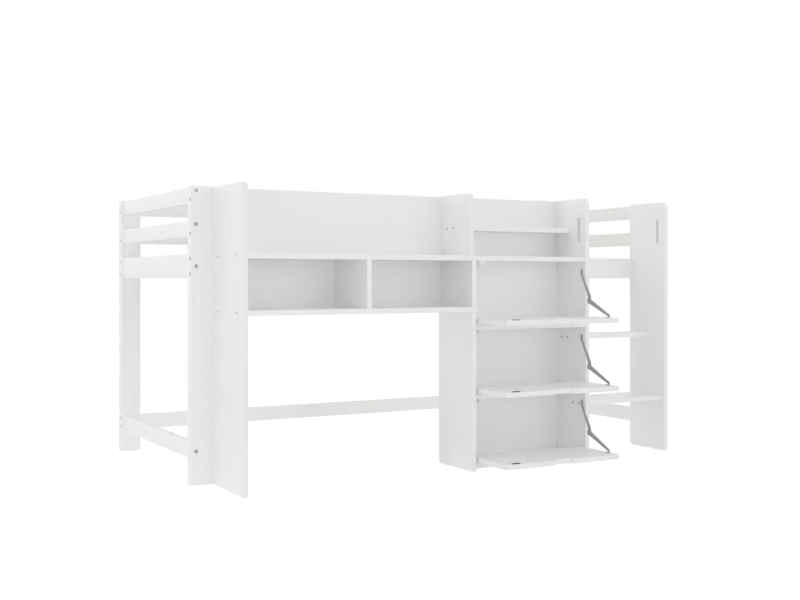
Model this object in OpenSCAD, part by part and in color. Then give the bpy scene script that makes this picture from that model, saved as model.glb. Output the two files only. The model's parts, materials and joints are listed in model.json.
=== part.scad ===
// Low cabin bed with a desk bay, a flap-door cabinet and two side steps.
// Millimetres, +Z up. The long side with the bay and the flaps faces -Y.
// The flaps are drawn open, lying level; each closes upwards by 90 degrees.

/* [Bed frame] */
// Length of the bed over its corner posts
bed_length = 2072; // [2040:1:2110]
// Depth of the bed over its corner posts
bed_depth = 970; // [940:1:1060]
// Height of the corner posts
bed_height = 1050; // [1040:1:1120]
// Corner post, across the bed's end face
post_thick = 38; // [34:1:44]
// Corner post, along the bed's length
post_width = 80; // [76:1:90]
// Rounding of the posts' top corners
post_round = 5; // [2:0.5:9]
// Thickness of every rail
rail_thick = 20; // [18:1:22]
// How far the end rails sit in from the posts' outer faces
rail_inset = 9; // [6:1:12]
// Height of a guard rail
guard_height = 57; // [50:1:64]
// Drop from the post tops to the top guard rail and the panel tops
top_drop = 4; // [2:1:10]
// Clear height between the two guard rails
guard_gap = 61; // [52:1:70]
// Clear height between the lower guard rail and the wide rail
rail_gap = 60; // [52:1:70]
// Height of the wide rail that carries the mattress base
side_rail_height = 85; // [76:1:90]
// Height of the low stretcher rails
stretcher_height = 60; // [50:1:70]
// Level of the low stretchers' underside
stretcher_level = 89.5; // [70:0.5:110]
// Thickness of the short guard post beside the steps
guard_post_thick = 18; // [16:1:22]

/* [Mattress base] */
// Width of the ledger strip inside each side rail
ledger_width = 25; // [20:1:30]
// Height of the ledger strip
ledger_height = 25; // [20:1:28]
// Height of the ledger's underside above the side rail's underside
ledger_rise = 3; // [1:1:6]
// Number of cross slats left of the short guard post
slats_left = 10; // [8:1:11]
// Number of cross slats right of the short guard post
slats_right = 4; // [2:1:4]
// Width of a slat
slat_width = 80; // [60:1:90]
// Thickness of a slat
slat_thick = 15; // [12:1:18]
// Space between a slat's end and the side rail
slat_end_gap = 4; // [2:1:8]
// Number of screws in a ledger strip
ledger_screws = 7; // [5:1:9]
// How far a ledger screw reaches into the side rail
ledger_screw_reach = 14; // [10:1:16]
// How far a slat screw reaches into the ledger
slat_screw_reach = 9; // [6:1:14]

/* [Boards] */
// Thickness of the cabinet and bay boards
board = 18; // [16:1:19]
// Rounding of the panels' top front corners
panel_round = 26; // [10:1:34]
// Width of the desk bay between its side panel and the divider
bay_width = 902; // [880:1:912]
// Depth of the bay's side panel
bay_panel_depth = 300; // [290:1:320]
// Depth of the bay's two shelves
bay_shelf_depth = 295; // [270:1:298]
// Drop from the wide rail's top to the bay's upper shelf top
bay_drop = 1; // [0:0.5:4]
// Clear height of the two cubbies
cubby_height = 173.5; // [150:0.5:200]
// Left cubby's share of the bay width
cubby_left = 442; // [400:1:470]
// Drop from the panel tops to the upper back panel
back_drop = 2; // [1:1:6]

/* [Cabinet] */
// Clear width of the cabinet between its sides
cabinet_width = 527; // [510:1:532]
// Depth of the cabinet's right side panel
cabinet_depth = 230; // [222:1:250]
// Depth of the lower divider
divider_depth = 250; // [244:1:262]
// Depth of the upper divider
upper_divider_depth = 232; // [220:1:240]
// Set-back of the shelf fronts from the side panel's front edge
shelf_setback = 2; // [1:0.5:4]
// Depth of the small upper shelf
upper_shelf_depth = 133; // [110:1:150]
// Height of the small upper shelf's underside above the cabinet top
upper_shelf_rise = 100; // [80:1:120]
// Space under the cabinet's bottom board
base_gap = 6.5; // [4:0.5:12]
// Thickness of the cabinet's back panel
back_thick = 12; // [9:1:16]
// Distance from the bed's front face to the back panel's front face
back_face = 40; // [34:1:46]

/* [Hand slots] */
// Width of a hand slot
slot_width = 16; // [12:1:20]
// Length of a hand slot
slot_length = 98; // [80:1:120]
// Drop from the panel tops to the hand slots' middle
slot_drop = 124; // [100:1:140]
// Distance from a panel's front edge to the slot's middle
slot_setback = 45; // [38:1:60]

/* [End panel and steps] */
// Depth of the right end panel
end_panel_depth = 210; // [200:1:230]
// Thickness of the steps
step_thick = 18; // [16:1:22]
// Level of the upper step's top
upper_step_level = 494.7; // [470:0.1:520]
// Depth of the upper step
upper_step_depth = 115; // [105:1:140]
// Level of the lower step's top
lower_step_level = 230.3; // [210:0.1:250]
// Depth of the lower step
lower_step_depth = 192; // [180:1:198]

/* [Flaps] */
// Thickness of a flap
flap_thick = 18; // [16:1:19]
// Gap between the divider and a flap
flap_left_gap = 8; // [6:0.5:10]
// Gap between a flap and the right side panel
flap_right_gap = 3; // [2:0.5:4]
// Gap between a closed flap and the shelf above
flap_top_gap = 2.8; // [2:0.1:4]
// Height of the hinge axis above the shelf under it
hinge_rise = 16; // [16:0.5:19]
// Distance from the hinge axis to the flap's hinged edge
hinge_inset = 11; // [10:0.5:11]
// Diameter of the hinge pins
hinge_pin_d = 6; // [5:0.5:7]
// Radial running clearance of pins in bores
run_clear = 0.05; // [0.02:0.01:0.1]
// Depth of a hinge pin in the flap and in the side board
hinge_pin_reach = 12; // [8:0.5:14]
// Space past a hinge pin's end in the flap's bore
hinge_pin_room = 1; // [0.5:0.5:2]
// Diameter of the left hinge pins' collars
collar_d = 12; // [9:0.5:14]
// Space between a collar and the flap
collar_gap = 0.4; // [0.3:0.1:0.8]
// Width of the finger notch
notch_width = 84; // [60:1:110]
// Depth of the finger notch
notch_depth = 20; // [12:1:26]

/* [Catches] */
// Length of a magnetic catch
catch_length = 33; // [20:1:40]
// Height of a magnetic catch
catch_height = 14; // [12:1:16]
// Depth of a magnetic catch
catch_depth = 16; // [10:1:20]
// Distance from the divider to the catch
catch_start = 37; // [20:1:60]
// Distance from a catch's left end to its strike plate's left end
strike_shift = 3; // [0:1:6]
// Length of a strike plate
strike_length = 32; // [24:1:40]
// Width of a strike plate
strike_width = 12; // [10:1:14]
// Thickness of a strike plate
strike_thick = 2; // [1:0.1:2.5]
// Distance of a strike plate from the flap's free edge
strike_edge = 6; // [4:1:8]
// Space between a magnetic catch and the closed strike plate
catch_gap = 0.3; // [0.3:0.1:0.6]

/* [Flap stays] */
// Drop from the shelf above to the stay's side pivot
stay_side_drop = 35; // [33:0.5:40]
// Distance behind the hinge axis of the stay's side pivot
stay_side_back = 14.5; // [14:0.1:18]
// Distance from the flap's free edge to the stay's flap pivot
stay_edge = 57; // [54:0.5:62]
// Height of the stay's flap pivot above the flap's inner face
stay_flap_rise = 7; // [7:0.1:8]
// Height of the elbow above the hinge axis with the flap open
elbow_rise = 72; // [68:0.1:74]
// Distance in front of the hinge axis of the elbow with the flap open
elbow_front = 42.5; // [36:0.1:44]
// Thickness of a stay arm
arm_thick = 2.1; // [1.6:0.1:2.4]
// Width of a stay arm at its outer pivot
arm_width = 9; // [7:0.5:10]
// Width of the arms at the elbow
elbow_width = 19; // [12:0.5:20]
// Diameter of the lower arm's round end at the elbow
elbow_d = 23; // [18:0.5:24]
// Drop of the upper arm from its pivot to its neck
neck_drop = 13; // [10:1:15]
// Width of the upper arm's neck
neck_width = 7; // [6:0.5:8]
// Distance from the elbow to the upper arm's bow
bow_rise = 16; // [12:1:20]
// Width of the upper arm at its bow
bow_width = 17; // [10:0.5:18]
// How far the upper arm bows out of the line between its pivots
arm_bow = 5; // [3:0.5:6]
// Depth of the lower arm's flanges
flange_depth = 2.2; // [1.5:0.1:2.5]
// Thickness of the lower arm's flanges
flange_thick = 1.4; // [1:0.1:1.6]
// Distance of the lower arm's flanges from its pivot in the flap's bracket
flange_end = 8; // [7:0.5:12]
// Space between moving pieces of a stay
stay_gap = 0.4; // [0.3:0.05:0.6]
// Diameter of the stay pivots
stay_pin_d = 5; // [4:0.5:5.5]
// Thickness of the stay's mounting plate on the side panel
plate_thick = 2; // [1.5:0.1:2.5]
// Length of the mounting plate
plate_length = 26; // [20:1:32]
// Width of the mounting plate
plate_width = 10; // [8:1:12]
// Diameter of the elbow's rivet heads
rivet_d = 8; // [6:0.5:8.5]
// Thickness of the elbow's rivet heads
rivet_thick = 1; // [0.6:0.1:1.4]
// Thickness of the flap bracket's upright tab
tab_thick = 2.5; // [1.5:0.1:3]
// Thickness of the flap bracket's foot
foot_thick = 1.5; // [1:0.1:2]
// Width of the flap bracket's foot
foot_width = 12; // [8:0.5:16]
// Length of the flap bracket's foot
foot_length = 30; // [20:1:40]

/* [Fasteners] */
// Head diameter of the frame bolts
bolt_head_d = 14; // [10:0.5:16]
// Shank diameter of the frame bolts
bolt_d = 6; // [5:0.5:8]
// Depth of the bolt heads' seats
bolt_seat = 3; // [2:0.5:4]
// How far a frame bolt reaches into its rail
bolt_reach = 42; // [40:1:56]
// Diameter of the barrel nuts
nut_d = 12; // [10:0.5:12]
// Length of the barrel nuts
nut_length = 16; // [14:0.5:17]
// Distance from a rail's end to its barrel nut
nut_in = 32; // [26:1:36]
// Height of the end rails' bolts above their rail's middle
bolt_high = 16.5; // [14:0.5:18]
// Depth of the long guard rails' bolts below their rail's middle
bolt_low = 15.5; // [14:0.5:18]
// Height of the wide rails' two bolts above and below the rail's middle
bolt_rail_step = 27; // [24:0.5:29]
// Height of the back stretcher's two bolts above and below its middle
bolt_foot_step = 18; // [14:0.5:19]
// Head diameter of the panel screws
screw_head_d = 9; // [7:0.5:11]
// Shank diameter of the panel screws
screw_d = 5; // [4:0.5:6]
// How far a panel screw reaches past the panel
screw_reach = 32; // [24:1:40]
// Depth of the screw heads in the boards
screw_seat = 2; // [1.5:0.5:3]
// Distance from a bay shelf's front edge to its front screw
bay_screw_edge = 59; // [40:1:70]
// Distance between a bay shelf's two screws
bay_screw_step = 186; // [160:1:200]
// Distance from the lower divider's front edge to its front screw
divider_screw_edge = 50; // [40:1:70]
// Distance between the lower divider's two screws
divider_screw_step = 150; // [120:1:170]
// Distance from the small upper shelf's front edge to its front screw
upper_screw_edge = 25; // [15:1:30]
// Distance between the small upper shelf's two screws
upper_screw_step = 45; // [35:1:55]
// Distance from a step's front edge to its front screw
step_screw_edge = 8; // [7:1:14]
// Distance between a step's two screws
step_screw_step = 40; // [30:1:48]
// Head diameter of the mattress base screws
base_screw_head_d = 8; // [6:0.5:9]
// Shank diameter of the mattress base screws
base_screw_d = 4; // [3:0.5:5]

/* [Hidden] */

$fn = 48;
// Overlap used only so that a cut passes cleanly through a face
eps = 0.1;

white_paint = [0.93, 0.93, 0.92];
white_board = [0.95, 0.95, 0.95];
grey_steel = [0.42, 0.42, 0.43];
nickel = [0.6, 0.6, 0.6];
white_plastic = [0.96, 0.96, 0.96];
bare_pine = [0.86, 0.76, 0.6];

// Levels of the frame
panel_top = bed_height - top_drop;
top_guard_level = panel_top - guard_height;
mid_guard_level = top_guard_level - guard_gap - guard_height;
side_rail_level = mid_guard_level - rail_gap - side_rail_height;
bay_level = side_rail_level + side_rail_height - bay_drop;
slot_level = panel_top - slot_drop;
back_rail_y = bed_depth - (post_thick + rail_thick) / 2;
back_rail_mid = back_rail_y + rail_thick / 2;
right_rail_x = bed_length - rail_inset - rail_thick;
end_rail_mid = rail_inset + rail_thick / 2;
long_rail_length = bed_length - 2 * post_width;
ledger_level = side_rail_level + ledger_rise;
slat_level = ledger_level + ledger_height;

// Rails from the top down: level of the underside, height
rail_bottoms = [top_guard_level, mid_guard_level, side_rail_level, stretcher_level];
rail_heights = [guard_height, guard_height, side_rail_height, stretcher_height];
rail_mids = [for (i = [0 : 3]) rail_bottoms[i] + rail_heights[i] / 2];

// Levels of the bolts: one into each end rail, one or two into each long rail
end_bolts = [
  rail_mids[0] + bolt_high,
  rail_mids[1] + bolt_high,
  rail_mids[2],
  rail_mids[3]];
long_bolts = [
  [rail_mids[0] - bolt_low],
  [rail_mids[1] - bolt_low],
  [rail_mids[2] - bolt_rail_step, rail_mids[2] + bolt_rail_step],
  [rail_mids[3] - bolt_foot_step, rail_mids[3] + bolt_foot_step]];
guard_post_bolts = [rail_mids[0], rail_mids[1], slat_level + slat_thick + bolt_head_d];

// Stations along the bed's length
bay_in = post_width + board;
divider_x = bay_in + bay_width;
divider_mid = divider_x + board / 2;
cabinet_in = divider_x + board;
side_x = cabinet_in + cabinet_width;
side_out = side_x + board;
guard_post_start = side_x - post_width;
end_x = bed_length - post_width - board;

// Levels of the boards
cabinet_top_under = bay_level - board;
cubby_floor = cabinet_top_under - cubby_height;
compartment = (cabinet_top_under - base_gap - 3 * board) / 3;
shelf_tops = [for (i = [0 : 2]) cabinet_top_under - (i + 1) * compartment - i * board];
shelf_front = cabinet_depth - shelf_setback;
upper_shelf_level = bay_level + upper_shelf_rise;

// Flap and hinge
hinge_y = flap_thick / 2 - cabinet_depth;
flap_x0 = cabinet_in + flap_left_gap;
flap_x1 = side_x - flap_right_gap;
flap_length = compartment - hinge_rise + hinge_inset - flap_top_gap;
flap_reach = flap_length - hinge_inset;
hinge_levels = [for (i = [0 : 2]) shelf_tops[i] + hinge_rise];
flap_mid_x = (flap_x0 + flap_x1) / 2;

// Stay: side pivot P, elbow E and flap pivot Q, as (Y, Z) from the hinge axis
stay_p = [stay_side_back, compartment - hinge_rise - stay_side_drop];
stay_e = [-elbow_front, elbow_rise];
stay_q = [stay_edge - flap_reach, flap_thick / 2 + stay_flap_rise];
plate_x = side_x - plate_thick;
upper_arm_x = plate_x - stay_gap - arm_thick;
lower_arm_x = upper_arm_x - stay_gap - arm_thick;
tab_x = lower_arm_x - stay_gap - tab_thick;
stay_head_r = arm_width / 2;

// Upper arm: pivot, neck, bow and elbow, as [point, width]
arm_line = (stay_p - stay_e) / norm(stay_p - stay_e);
upper_stations = [
  [stay_p, arm_width],
  [stay_p - [0, neck_drop], neck_width],
  [stay_e + bow_rise * arm_line + arm_bow * [-arm_line[1], arm_line[0]], bow_width],
  [stay_e, elbow_width]];

// The row's origin is the middle of the base of the whole part's box
origin_x = bed_length / 2;
origin_y = (bed_depth + hinge_y - flap_reach) / 2;

// A box from one corner
module slab(x, y, z, dx, dy, dz) {
  translate([x, y, z]) cube([dx, dy, dz]);
}

// A round bar along X from a point
module bar_x(x, y, z, d, l) {
  translate([x, y, z]) rotate([0, 90, 0]) cylinder(d = d, h = l);
}

// A round bar along Y from a point
module bar_y(x, y, z, d, l) {
  translate([x, y, z]) rotate([-90, 0, 0]) cylinder(d = d, h = l);
}

// Mirrors its children to the bed's right end
module at_right_end(yes = true) {
  translate([yes ? bed_length : 0, 0, 0]) mirror([yes ? 1 : 0, 0, 0]) children();
}

// Mirrors its children to the bed's back
module at_back(yes = true) {
  translate([0, yes ? bed_depth : 0, 0]) mirror([0, yes ? 1 : 0, 0]) children();
}

// Bolt with a flush head, along +Y from the front face
module bolt_y(x, z, reach, cut = false) {
  grow = cut ? eps : 0;
  fit = cut ? 2 * run_clear : 0;
  bar_y(x, -grow, z, bolt_head_d + fit, bolt_seat + grow);
  bar_y(x, 0, z, bolt_d + fit, reach + grow);
}

// Bolt with a flush head, along +X from the left end
module bolt_x(y, z, reach, cut = false) {
  grow = cut ? eps : 0;
  fit = cut ? 2 * run_clear : 0;
  bar_x(-grow, y, z, bolt_head_d + fit, bolt_seat + grow);
  bar_x(0, y, z, bolt_d + fit, reach + grow);
}

// The two bolts of an end rail, from the front and from the back
module end_rail_bolts(i, cut = false) {
  for (back = [false, true])
    at_back(back) bolt_y(end_rail_mid, end_bolts[i], post_thick + bolt_reach, cut);
}

// The bolts of a long rail, from the left and from the right
module long_rail_bolts(i, y, cut = false, both = true) {
  for (right = both ? [false, true] : [false], z = long_bolts[i])
    at_right_end(right) bolt_x(y, z, post_width + bolt_reach, cut);
}

// Barrel nuts of an end rail, let in from the rail's inner face
module end_rail_nuts(i, cut = false) {
  fit = cut ? 2 * run_clear : 0;
  grow = cut ? eps : 0;
  for (back = [false, true])
    at_back(back)
      difference() {
        bar_x(rail_inset + rail_thick - nut_length, post_thick + nut_in, end_bolts[i],
          nut_d + fit, nut_length + grow);
        if (!cut) end_rail_bolts(i, true);
      }
}

// Barrel nuts of a long rail, let in from the rail's back face
module long_rail_nuts(i, y, cut = false, both = true) {
  fit = cut ? 2 * run_clear : 0;
  grow = cut ? eps : 0;
  for (right = both ? [false, true] : [false], z = long_bolts[i])
    at_right_end(right)
      difference() {
        bar_y(post_width + nut_in, y + rail_thick / 2 - nut_length, z,
          nut_d + fit, nut_length + grow);
        if (!cut) bolt_x(y, z, post_width + bolt_reach, true);
      }
}

// Outline of a post seen from the front, its top corners rounded
module post_face(height) {
  square([post_width, height - post_round]);
  translate([post_round, 0]) square([post_width - 2 * post_round, height]);
  for (x = [post_round, post_width - post_round])
    translate([x, height - post_round]) circle(r = post_round);
}

module post_solid(height, thick = post_thick) {
  translate([0, thick, 0]) rotate([90, 0, 0]) linear_extrude(thick) post_face(height);
}

// Corner post at the left front, drilled for its end rails and the long rails listed
module corner_post(long_rails, y) {
  color(white_paint)
    difference() {
      post_solid(bed_height);
      for (i = [0 : 3]) bolt_y(end_rail_mid, end_bolts[i], post_thick, true);
      for (i = long_rails, z = long_bolts[i]) bolt_x(y, z, post_width, true);
    }
}

module post_front_left() {
  corner_post([0 : 2], rail_thick / 2);
}

module post_front_right() {
  at_right_end() corner_post([2 : 2], rail_thick / 2);
}

module post_back_left() {
  at_back() corner_post([0 : 3], post_thick / 2);
}

module post_back_right() {
  at_right_end() at_back() corner_post([0 : 3], post_thick / 2);
}

// Short post inside the front rails, where the guards end beside the steps
module post_guard() {
  color(white_paint)
    difference() {
      translate([guard_post_start, rail_thick, slat_level + slat_thick])
        post_solid(bed_height - slat_level - slat_thick, guard_post_thick);
      guard_bolts(true);
    }
}

// Bolts from the short post into the guards and the front rail
module guard_bolts(cut = false) {
  grow = cut ? eps : 0;
  fit = cut ? 2 * run_clear : 0;
  back = rail_thick + guard_post_thick;
  for (z = guard_post_bolts) {
    bar_y((guard_post_start + side_x) / 2, back - bolt_seat, z,
      bolt_head_d + fit, bolt_seat + grow);
    bar_y((guard_post_start + side_x) / 2, rail_thick / 4, z,
      bolt_d + fit, back - rail_thick / 4);
  }
}

// End rail number i of the left end
module end_rail(i) {
  color(white_paint)
    difference() {
      slab(rail_inset, post_thick, rail_bottoms[i], rail_thick,
        bed_depth - 2 * post_thick, rail_heights[i]);
      end_rail_bolts(i, true);
      end_rail_nuts(i, true);
    }
}

// Long rail number i of the back
module back_bar(i) {
  color(white_paint)
    difference() {
      slab(post_width, back_rail_y, rail_bottoms[i], long_rail_length, rail_thick,
        rail_heights[i]);
      long_rail_bolts(i, back_rail_mid, true);
      long_rail_nuts(i, back_rail_mid, true);
      if (i == 2) to_back_ledger() ledger_screw_row(true);
    }
}

module left_top_guard() {
  end_rail(0);
}

module left_mid_guard() {
  end_rail(1);
}

module left_rail() {
  end_rail(2);
}

module left_stretcher() {
  end_rail(3);
}

module right_top_guard() {
  at_right_end() end_rail(0);
}

module right_mid_guard() {
  at_right_end() end_rail(1);
}

module right_rail() {
  at_right_end() end_rail(2);
}

module right_stretcher() {
  at_right_end() end_rail(3);
}

module back_top_guard() {
  back_bar(0);
}

module back_mid_guard() {
  back_bar(1);
}

module back_rail() {
  back_bar(2);
}

module back_stretcher() {
  back_bar(3);
}

// Front guard rails stop at the short post, which leaves the way in by the steps
module front_guard(i) {
  color(white_paint)
    difference() {
      slab(post_width, 0, rail_bottoms[i], side_x - post_width, rail_thick,
        rail_heights[i]);
      long_rail_bolts(i, rail_thick / 2, true, false);
      long_rail_nuts(i, rail_thick / 2, true, false);
      guard_bolts(true);
      rail_screws(true);
    }
}

module front_top_guard() {
  front_guard(0);
}

module front_mid_guard() {
  front_guard(1);
}

module front_rail() {
  color(white_paint)
    difference() {
      slab(post_width, 0, side_rail_level, long_rail_length, rail_thick,
        side_rail_height);
      long_rail_bolts(2, rail_thick / 2, true);
      long_rail_nuts(2, rail_thick / 2, true);
      guard_bolts(true);
      rail_screws(true);
      ledger_screw_row(true);
    }
}

// Screws through the ledgers into the side rails, drawn for the front ledger
module ledger_screw_row(cut = false) {
  fit = cut ? 2 * run_clear : 0;
  grow = cut ? eps : 0;
  pitch = (long_rail_length - 2 * slat_width) / (ledger_screws - 1);
  z = ledger_level + ledger_height / 2;
  for (i = [0 : ledger_screws - 1]) {
    x = post_width + slat_width + i * pitch;
    bar_y(x, rail_thick + ledger_width - screw_seat, z, base_screw_head_d + fit,
      screw_seat + grow);
    bar_y(x, rail_thick - ledger_screw_reach, z, base_screw_d + fit,
      ledger_screw_reach + ledger_width);
  }
}

// Moves the front ledger's pieces to the back rail
module to_back_ledger() {
  translate([0, back_rail_y + rail_thick, 0]) mirror([0, 1, 0]) children();
}

slat_y0 = rail_thick + slat_end_gap;
slat_length = back_rail_y - slat_end_gap - slat_y0;

// The left edges of the slats, in two runs beside the short post
function run(x0, x1, n) = [for (i = [0 : n - 1])
  x0 + i * (x1 - x0 - slat_width) / (n - 1)];
slat_xs = concat(
  run(post_width, guard_post_start - slat_end_gap, slats_left),
  run(side_x + slat_end_gap, bed_length - post_width, slats_right));

// Screws through the slats' ends into the ledgers
module slat_screws(cut = false) {
  fit = cut ? 2 * run_clear : 0;
  grow = cut ? eps : 0;
  for (x = slat_xs, y = [slat_y0 + ledger_width / 2, back_rail_y - ledger_width / 2]) {
    translate([x + slat_width / 2, y, slat_level + slat_thick - screw_seat])
      cylinder(d = base_screw_head_d + fit, h = screw_seat + grow);
    translate([x + slat_width / 2, y, slat_level - slat_screw_reach])
      cylinder(d = base_screw_d + fit, h = slat_thick + slat_screw_reach);
  }
}

module ledger() {
  slab(post_width, rail_thick, ledger_level, long_rail_length, ledger_width,
    ledger_height);
}

module ledger_front() {
  color(bare_pine)
    difference() {
      ledger();
      ledger_screw_row(true);
      slat_screws(true);
    }
}

module ledger_back() {
  color(bare_pine)
    difference() {
      to_back_ledger() ledger();
      to_back_ledger() ledger_screw_row(true);
      slat_screws(true);
    }
}

module slats() {
  color(bare_pine)
    difference() {
      for (x = slat_xs)
        slab(x, slat_y0, slat_level, slat_width, slat_length, slat_thick);
      slat_screws(true);
    }
}

module base_screws() {
  color(nickel) {
    ledger_screw_row();
    to_back_ledger() ledger_screw_row();
    slat_screws();
  }
}

// Upright board across the bed, its top front corner rounded
module upright(x, depth, base, back) {
  translate([x, 0, 0]) rotate([90, 0, 90]) linear_extrude(board) {
    translate([-depth, base]) square([depth - back, panel_top - panel_round - base]);
    translate([panel_round - depth, base])
      square([depth - back - panel_round, panel_top - base]);
    translate([panel_round - depth, panel_top - panel_round]) circle(r = panel_round);
  }
}

// Hand slot through an upright board
module hand_slot(x, depth) {
  translate([x - eps, slot_setback - depth, slot_level])
    rotate([90, 0, 90]) linear_extrude(board + 2 * eps) {
      for (s = [-1, 1])
        translate([0, s * (slot_length - slot_width) / 2]) circle(d = slot_width);
      square([slot_width, slot_length - slot_width], center = true);
    }
}

// Panel screw along +X, head flush with a face at x
module screw_x(x, y, z, cut = false) {
  grow = cut ? eps : 0;
  fit = cut ? 2 * run_clear : 0;
  bar_x(x - grow, y, z, screw_head_d + fit, screw_seat + grow);
  bar_x(x, y, z, screw_d + fit, board + screw_reach);
}

// Places of the two screws in a board whose front edge is at a depth
function pair(depth, edge, step) = [for (k = [1, 0]) -(depth - edge - k * step)];

bay_screw_ys = pair(bay_shelf_depth, bay_screw_edge, bay_screw_step);
divider_screw_ys = pair(divider_depth, divider_screw_edge, divider_screw_step);
upper_shelf_ys = pair(upper_shelf_depth, upper_screw_edge, upper_screw_step);
upper_step_ys = pair(upper_step_depth, step_screw_edge, step_screw_step);
lower_step_ys = pair(lower_step_depth, step_screw_edge, step_screw_step);
upper_step_mid = upper_step_level - step_thick / 2;
lower_step_mid = lower_step_level - step_thick / 2;
shelf_mid = board / 2;

// Screws from the bay's side panel into its two shelves
module bay_screws(cut = false) {
  for (y = bay_screw_ys, z = [bay_level - shelf_mid, cubby_floor - shelf_mid])
    screw_x(post_width, y, z, cut);
}

// Screws from the lower divider into the bay's bottom shelf
module divider_screws(cut = false) {
  translate([divider_x + cabinet_in, 0, 0]) mirror([1, 0, 0])
    for (y = divider_screw_ys) screw_x(divider_x, y, cubby_floor - shelf_mid, cut);
}

// Screws from the upper divider into the small upper shelf
module upper_shelf_screws(cut = false) {
  for (y = upper_shelf_ys) screw_x(divider_x, y, upper_shelf_level + shelf_mid, cut);
}

// Screws from the cabinet's side and from the end panel into the steps
module step_screws(cut = false) {
  for (y = upper_step_ys) screw_x(side_x, y, upper_step_mid, cut);
  for (y = lower_step_ys) screw_x(side_x, y, lower_step_mid, cut);
}

module step_end_screws(cut = false) {
  translate([end_x + end_x + board, 0, 0]) mirror([1, 0, 0]) {
    for (y = upper_step_ys) screw_x(end_x, y, upper_step_mid, cut);
    for (y = lower_step_ys) screw_x(end_x, y, lower_step_mid, cut);
  }
}

// Screws through the rails into the uprights' back edges: [x, z]
rail_screw_points = concat(
  [for (x = [post_width + shelf_mid, divider_mid], z = [rail_mids[0], rail_mids[1]])
    [x, z]],
  [for (x = [post_width + shelf_mid, divider_mid, side_x + shelf_mid,
      end_x + shelf_mid])
    [x, rail_mids[2] - screw_head_d]]);

module rail_screws(cut = false) {
  fit = cut ? 2 * run_clear : 0;
  grow = cut ? eps : 0;
  for (p = rail_screw_points) {
    bar_y(p[0], rail_thick - screw_seat, p[1], screw_head_d + fit, screw_seat + grow);
    bar_y(p[0], -screw_reach, p[1], screw_d + fit, screw_reach + rail_thick);
  }
}

module panel_screws() {
  color(nickel) {
    bay_screws();
    divider_screws();
    upper_shelf_screws();
    step_screws();
    step_end_screws();
    rail_screws();
  }
}

module bay_side_panel() {
  color(white_board)
    difference() {
      upright(post_width, bay_panel_depth, 0, 0);
      bay_screws(true);
      rail_screws(true);
    }
}

module end_panel() {
  color(white_board)
    difference() {
      upright(end_x, end_panel_depth, 0, 0);
      hand_slot(end_x, end_panel_depth);
      step_end_screws(true);
      rail_screws(true);
    }
}

module cabinet_side_panel() {
  color(white_board)
    difference() {
      upright(side_x, cabinet_depth, 0, 0);
      hand_slot(side_x, cabinet_depth);
      step_screws(true);
      rail_screws(true);
      for (z = hinge_levels)
        bar_x(side_x - eps, hinge_y, z, hinge_pin_d + 2 * run_clear,
          hinge_pin_reach + eps);
    }
}

module lower_divider() {
  color(white_board)
    difference() {
      slab(divider_x, -divider_depth, 0, board, divider_depth, cabinet_top_under);
      divider_screws(true);
      rail_screws(true);
      for (z = hinge_levels)
        bar_x(cabinet_in - hinge_pin_reach, hinge_y, z, hinge_pin_d + 2 * run_clear,
          hinge_pin_reach + eps);
    }
}

module upper_divider() {
  color(white_board)
    difference() {
      upright(divider_x, upper_divider_depth, bay_level, board);
      upper_shelf_screws(true);
      rail_screws(true);
    }
}

// A level board: x and depth ranges and the level of its top
module shelf(x0, x1, back, front, top, thick = board) {
  color(white_board) slab(x0, -front, top - thick, x1 - x0, front - back, thick);
}

module bay_top_shelf() {
  difference() {
    shelf(bay_in, divider_mid, 0, bay_shelf_depth, bay_level);
    bay_screws(true);
  }
}

module bay_bottom_shelf() {
  difference() {
    shelf(bay_in, divider_x, 0, bay_shelf_depth, cubby_floor);
    bay_screws(true);
    divider_screws(true);
  }
}

module bay_partition() {
  color(white_board)
    slab(bay_in + cubby_left, -bay_shelf_depth, cubby_floor, board,
      bay_shelf_depth - board, cubby_height);
}

module cubby_back_panel() {
  color(white_board) slab(bay_in, -board, cubby_floor, bay_width, board, cubby_height);
}

module upper_back_panel() {
  color(white_board)
    difference() {
      slab(bay_in, -board, bay_level, side_x - bay_in, board,
        panel_top - back_drop - bay_level);
      rail_screws(true);
    }
}

module cabinet_top() {
  shelf(divider_mid, side_x, 0, shelf_front, bay_level);
}

module upper_shelf() {
  difference() {
    shelf(cabinet_in, side_x, board, upper_shelf_depth, upper_shelf_level + board);
    upper_shelf_screws(true);
  }
}

module cabinet_shelf(i) {
  shelf(cabinet_in, side_x, back_face, shelf_front, shelf_tops[i]);
}

module cabinet_shelf_high() {
  cabinet_shelf(0);
}

module cabinet_shelf_low() {
  cabinet_shelf(1);
}

module cabinet_bottom() {
  cabinet_shelf(2);
}

module cabinet_back_panel() {
  color(white_board)
    slab(cabinet_in, back_thick - back_face - back_thick, base_gap, cabinet_width,
      back_thick, cabinet_top_under - base_gap);
}

module step_upper() {
  difference() {
    shelf(side_out, end_x, 0, upper_step_depth, upper_step_level, step_thick);
    step_screws(true);
    step_end_screws(true);
  }
}

module step_lower() {
  difference() {
    shelf(side_out, end_x, 0, lower_step_depth, lower_step_level, step_thick);
    step_screws(true);
    step_end_screws(true);
  }
}

// Finger notch in the middle of a flap's free edge
module finger_notch() {
  translate([flap_mid_x, hinge_y - flap_reach, -flap_thick])
    linear_extrude(2 * flap_thick) {
      translate([-notch_width / 2 + notch_depth, -eps])
        square([notch_width - 2 * notch_depth, notch_depth + eps]);
      for (s = [-1, 1])
        translate([s * (notch_width / 2 - notch_depth), 0]) circle(r = notch_depth);
    }
}

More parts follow.
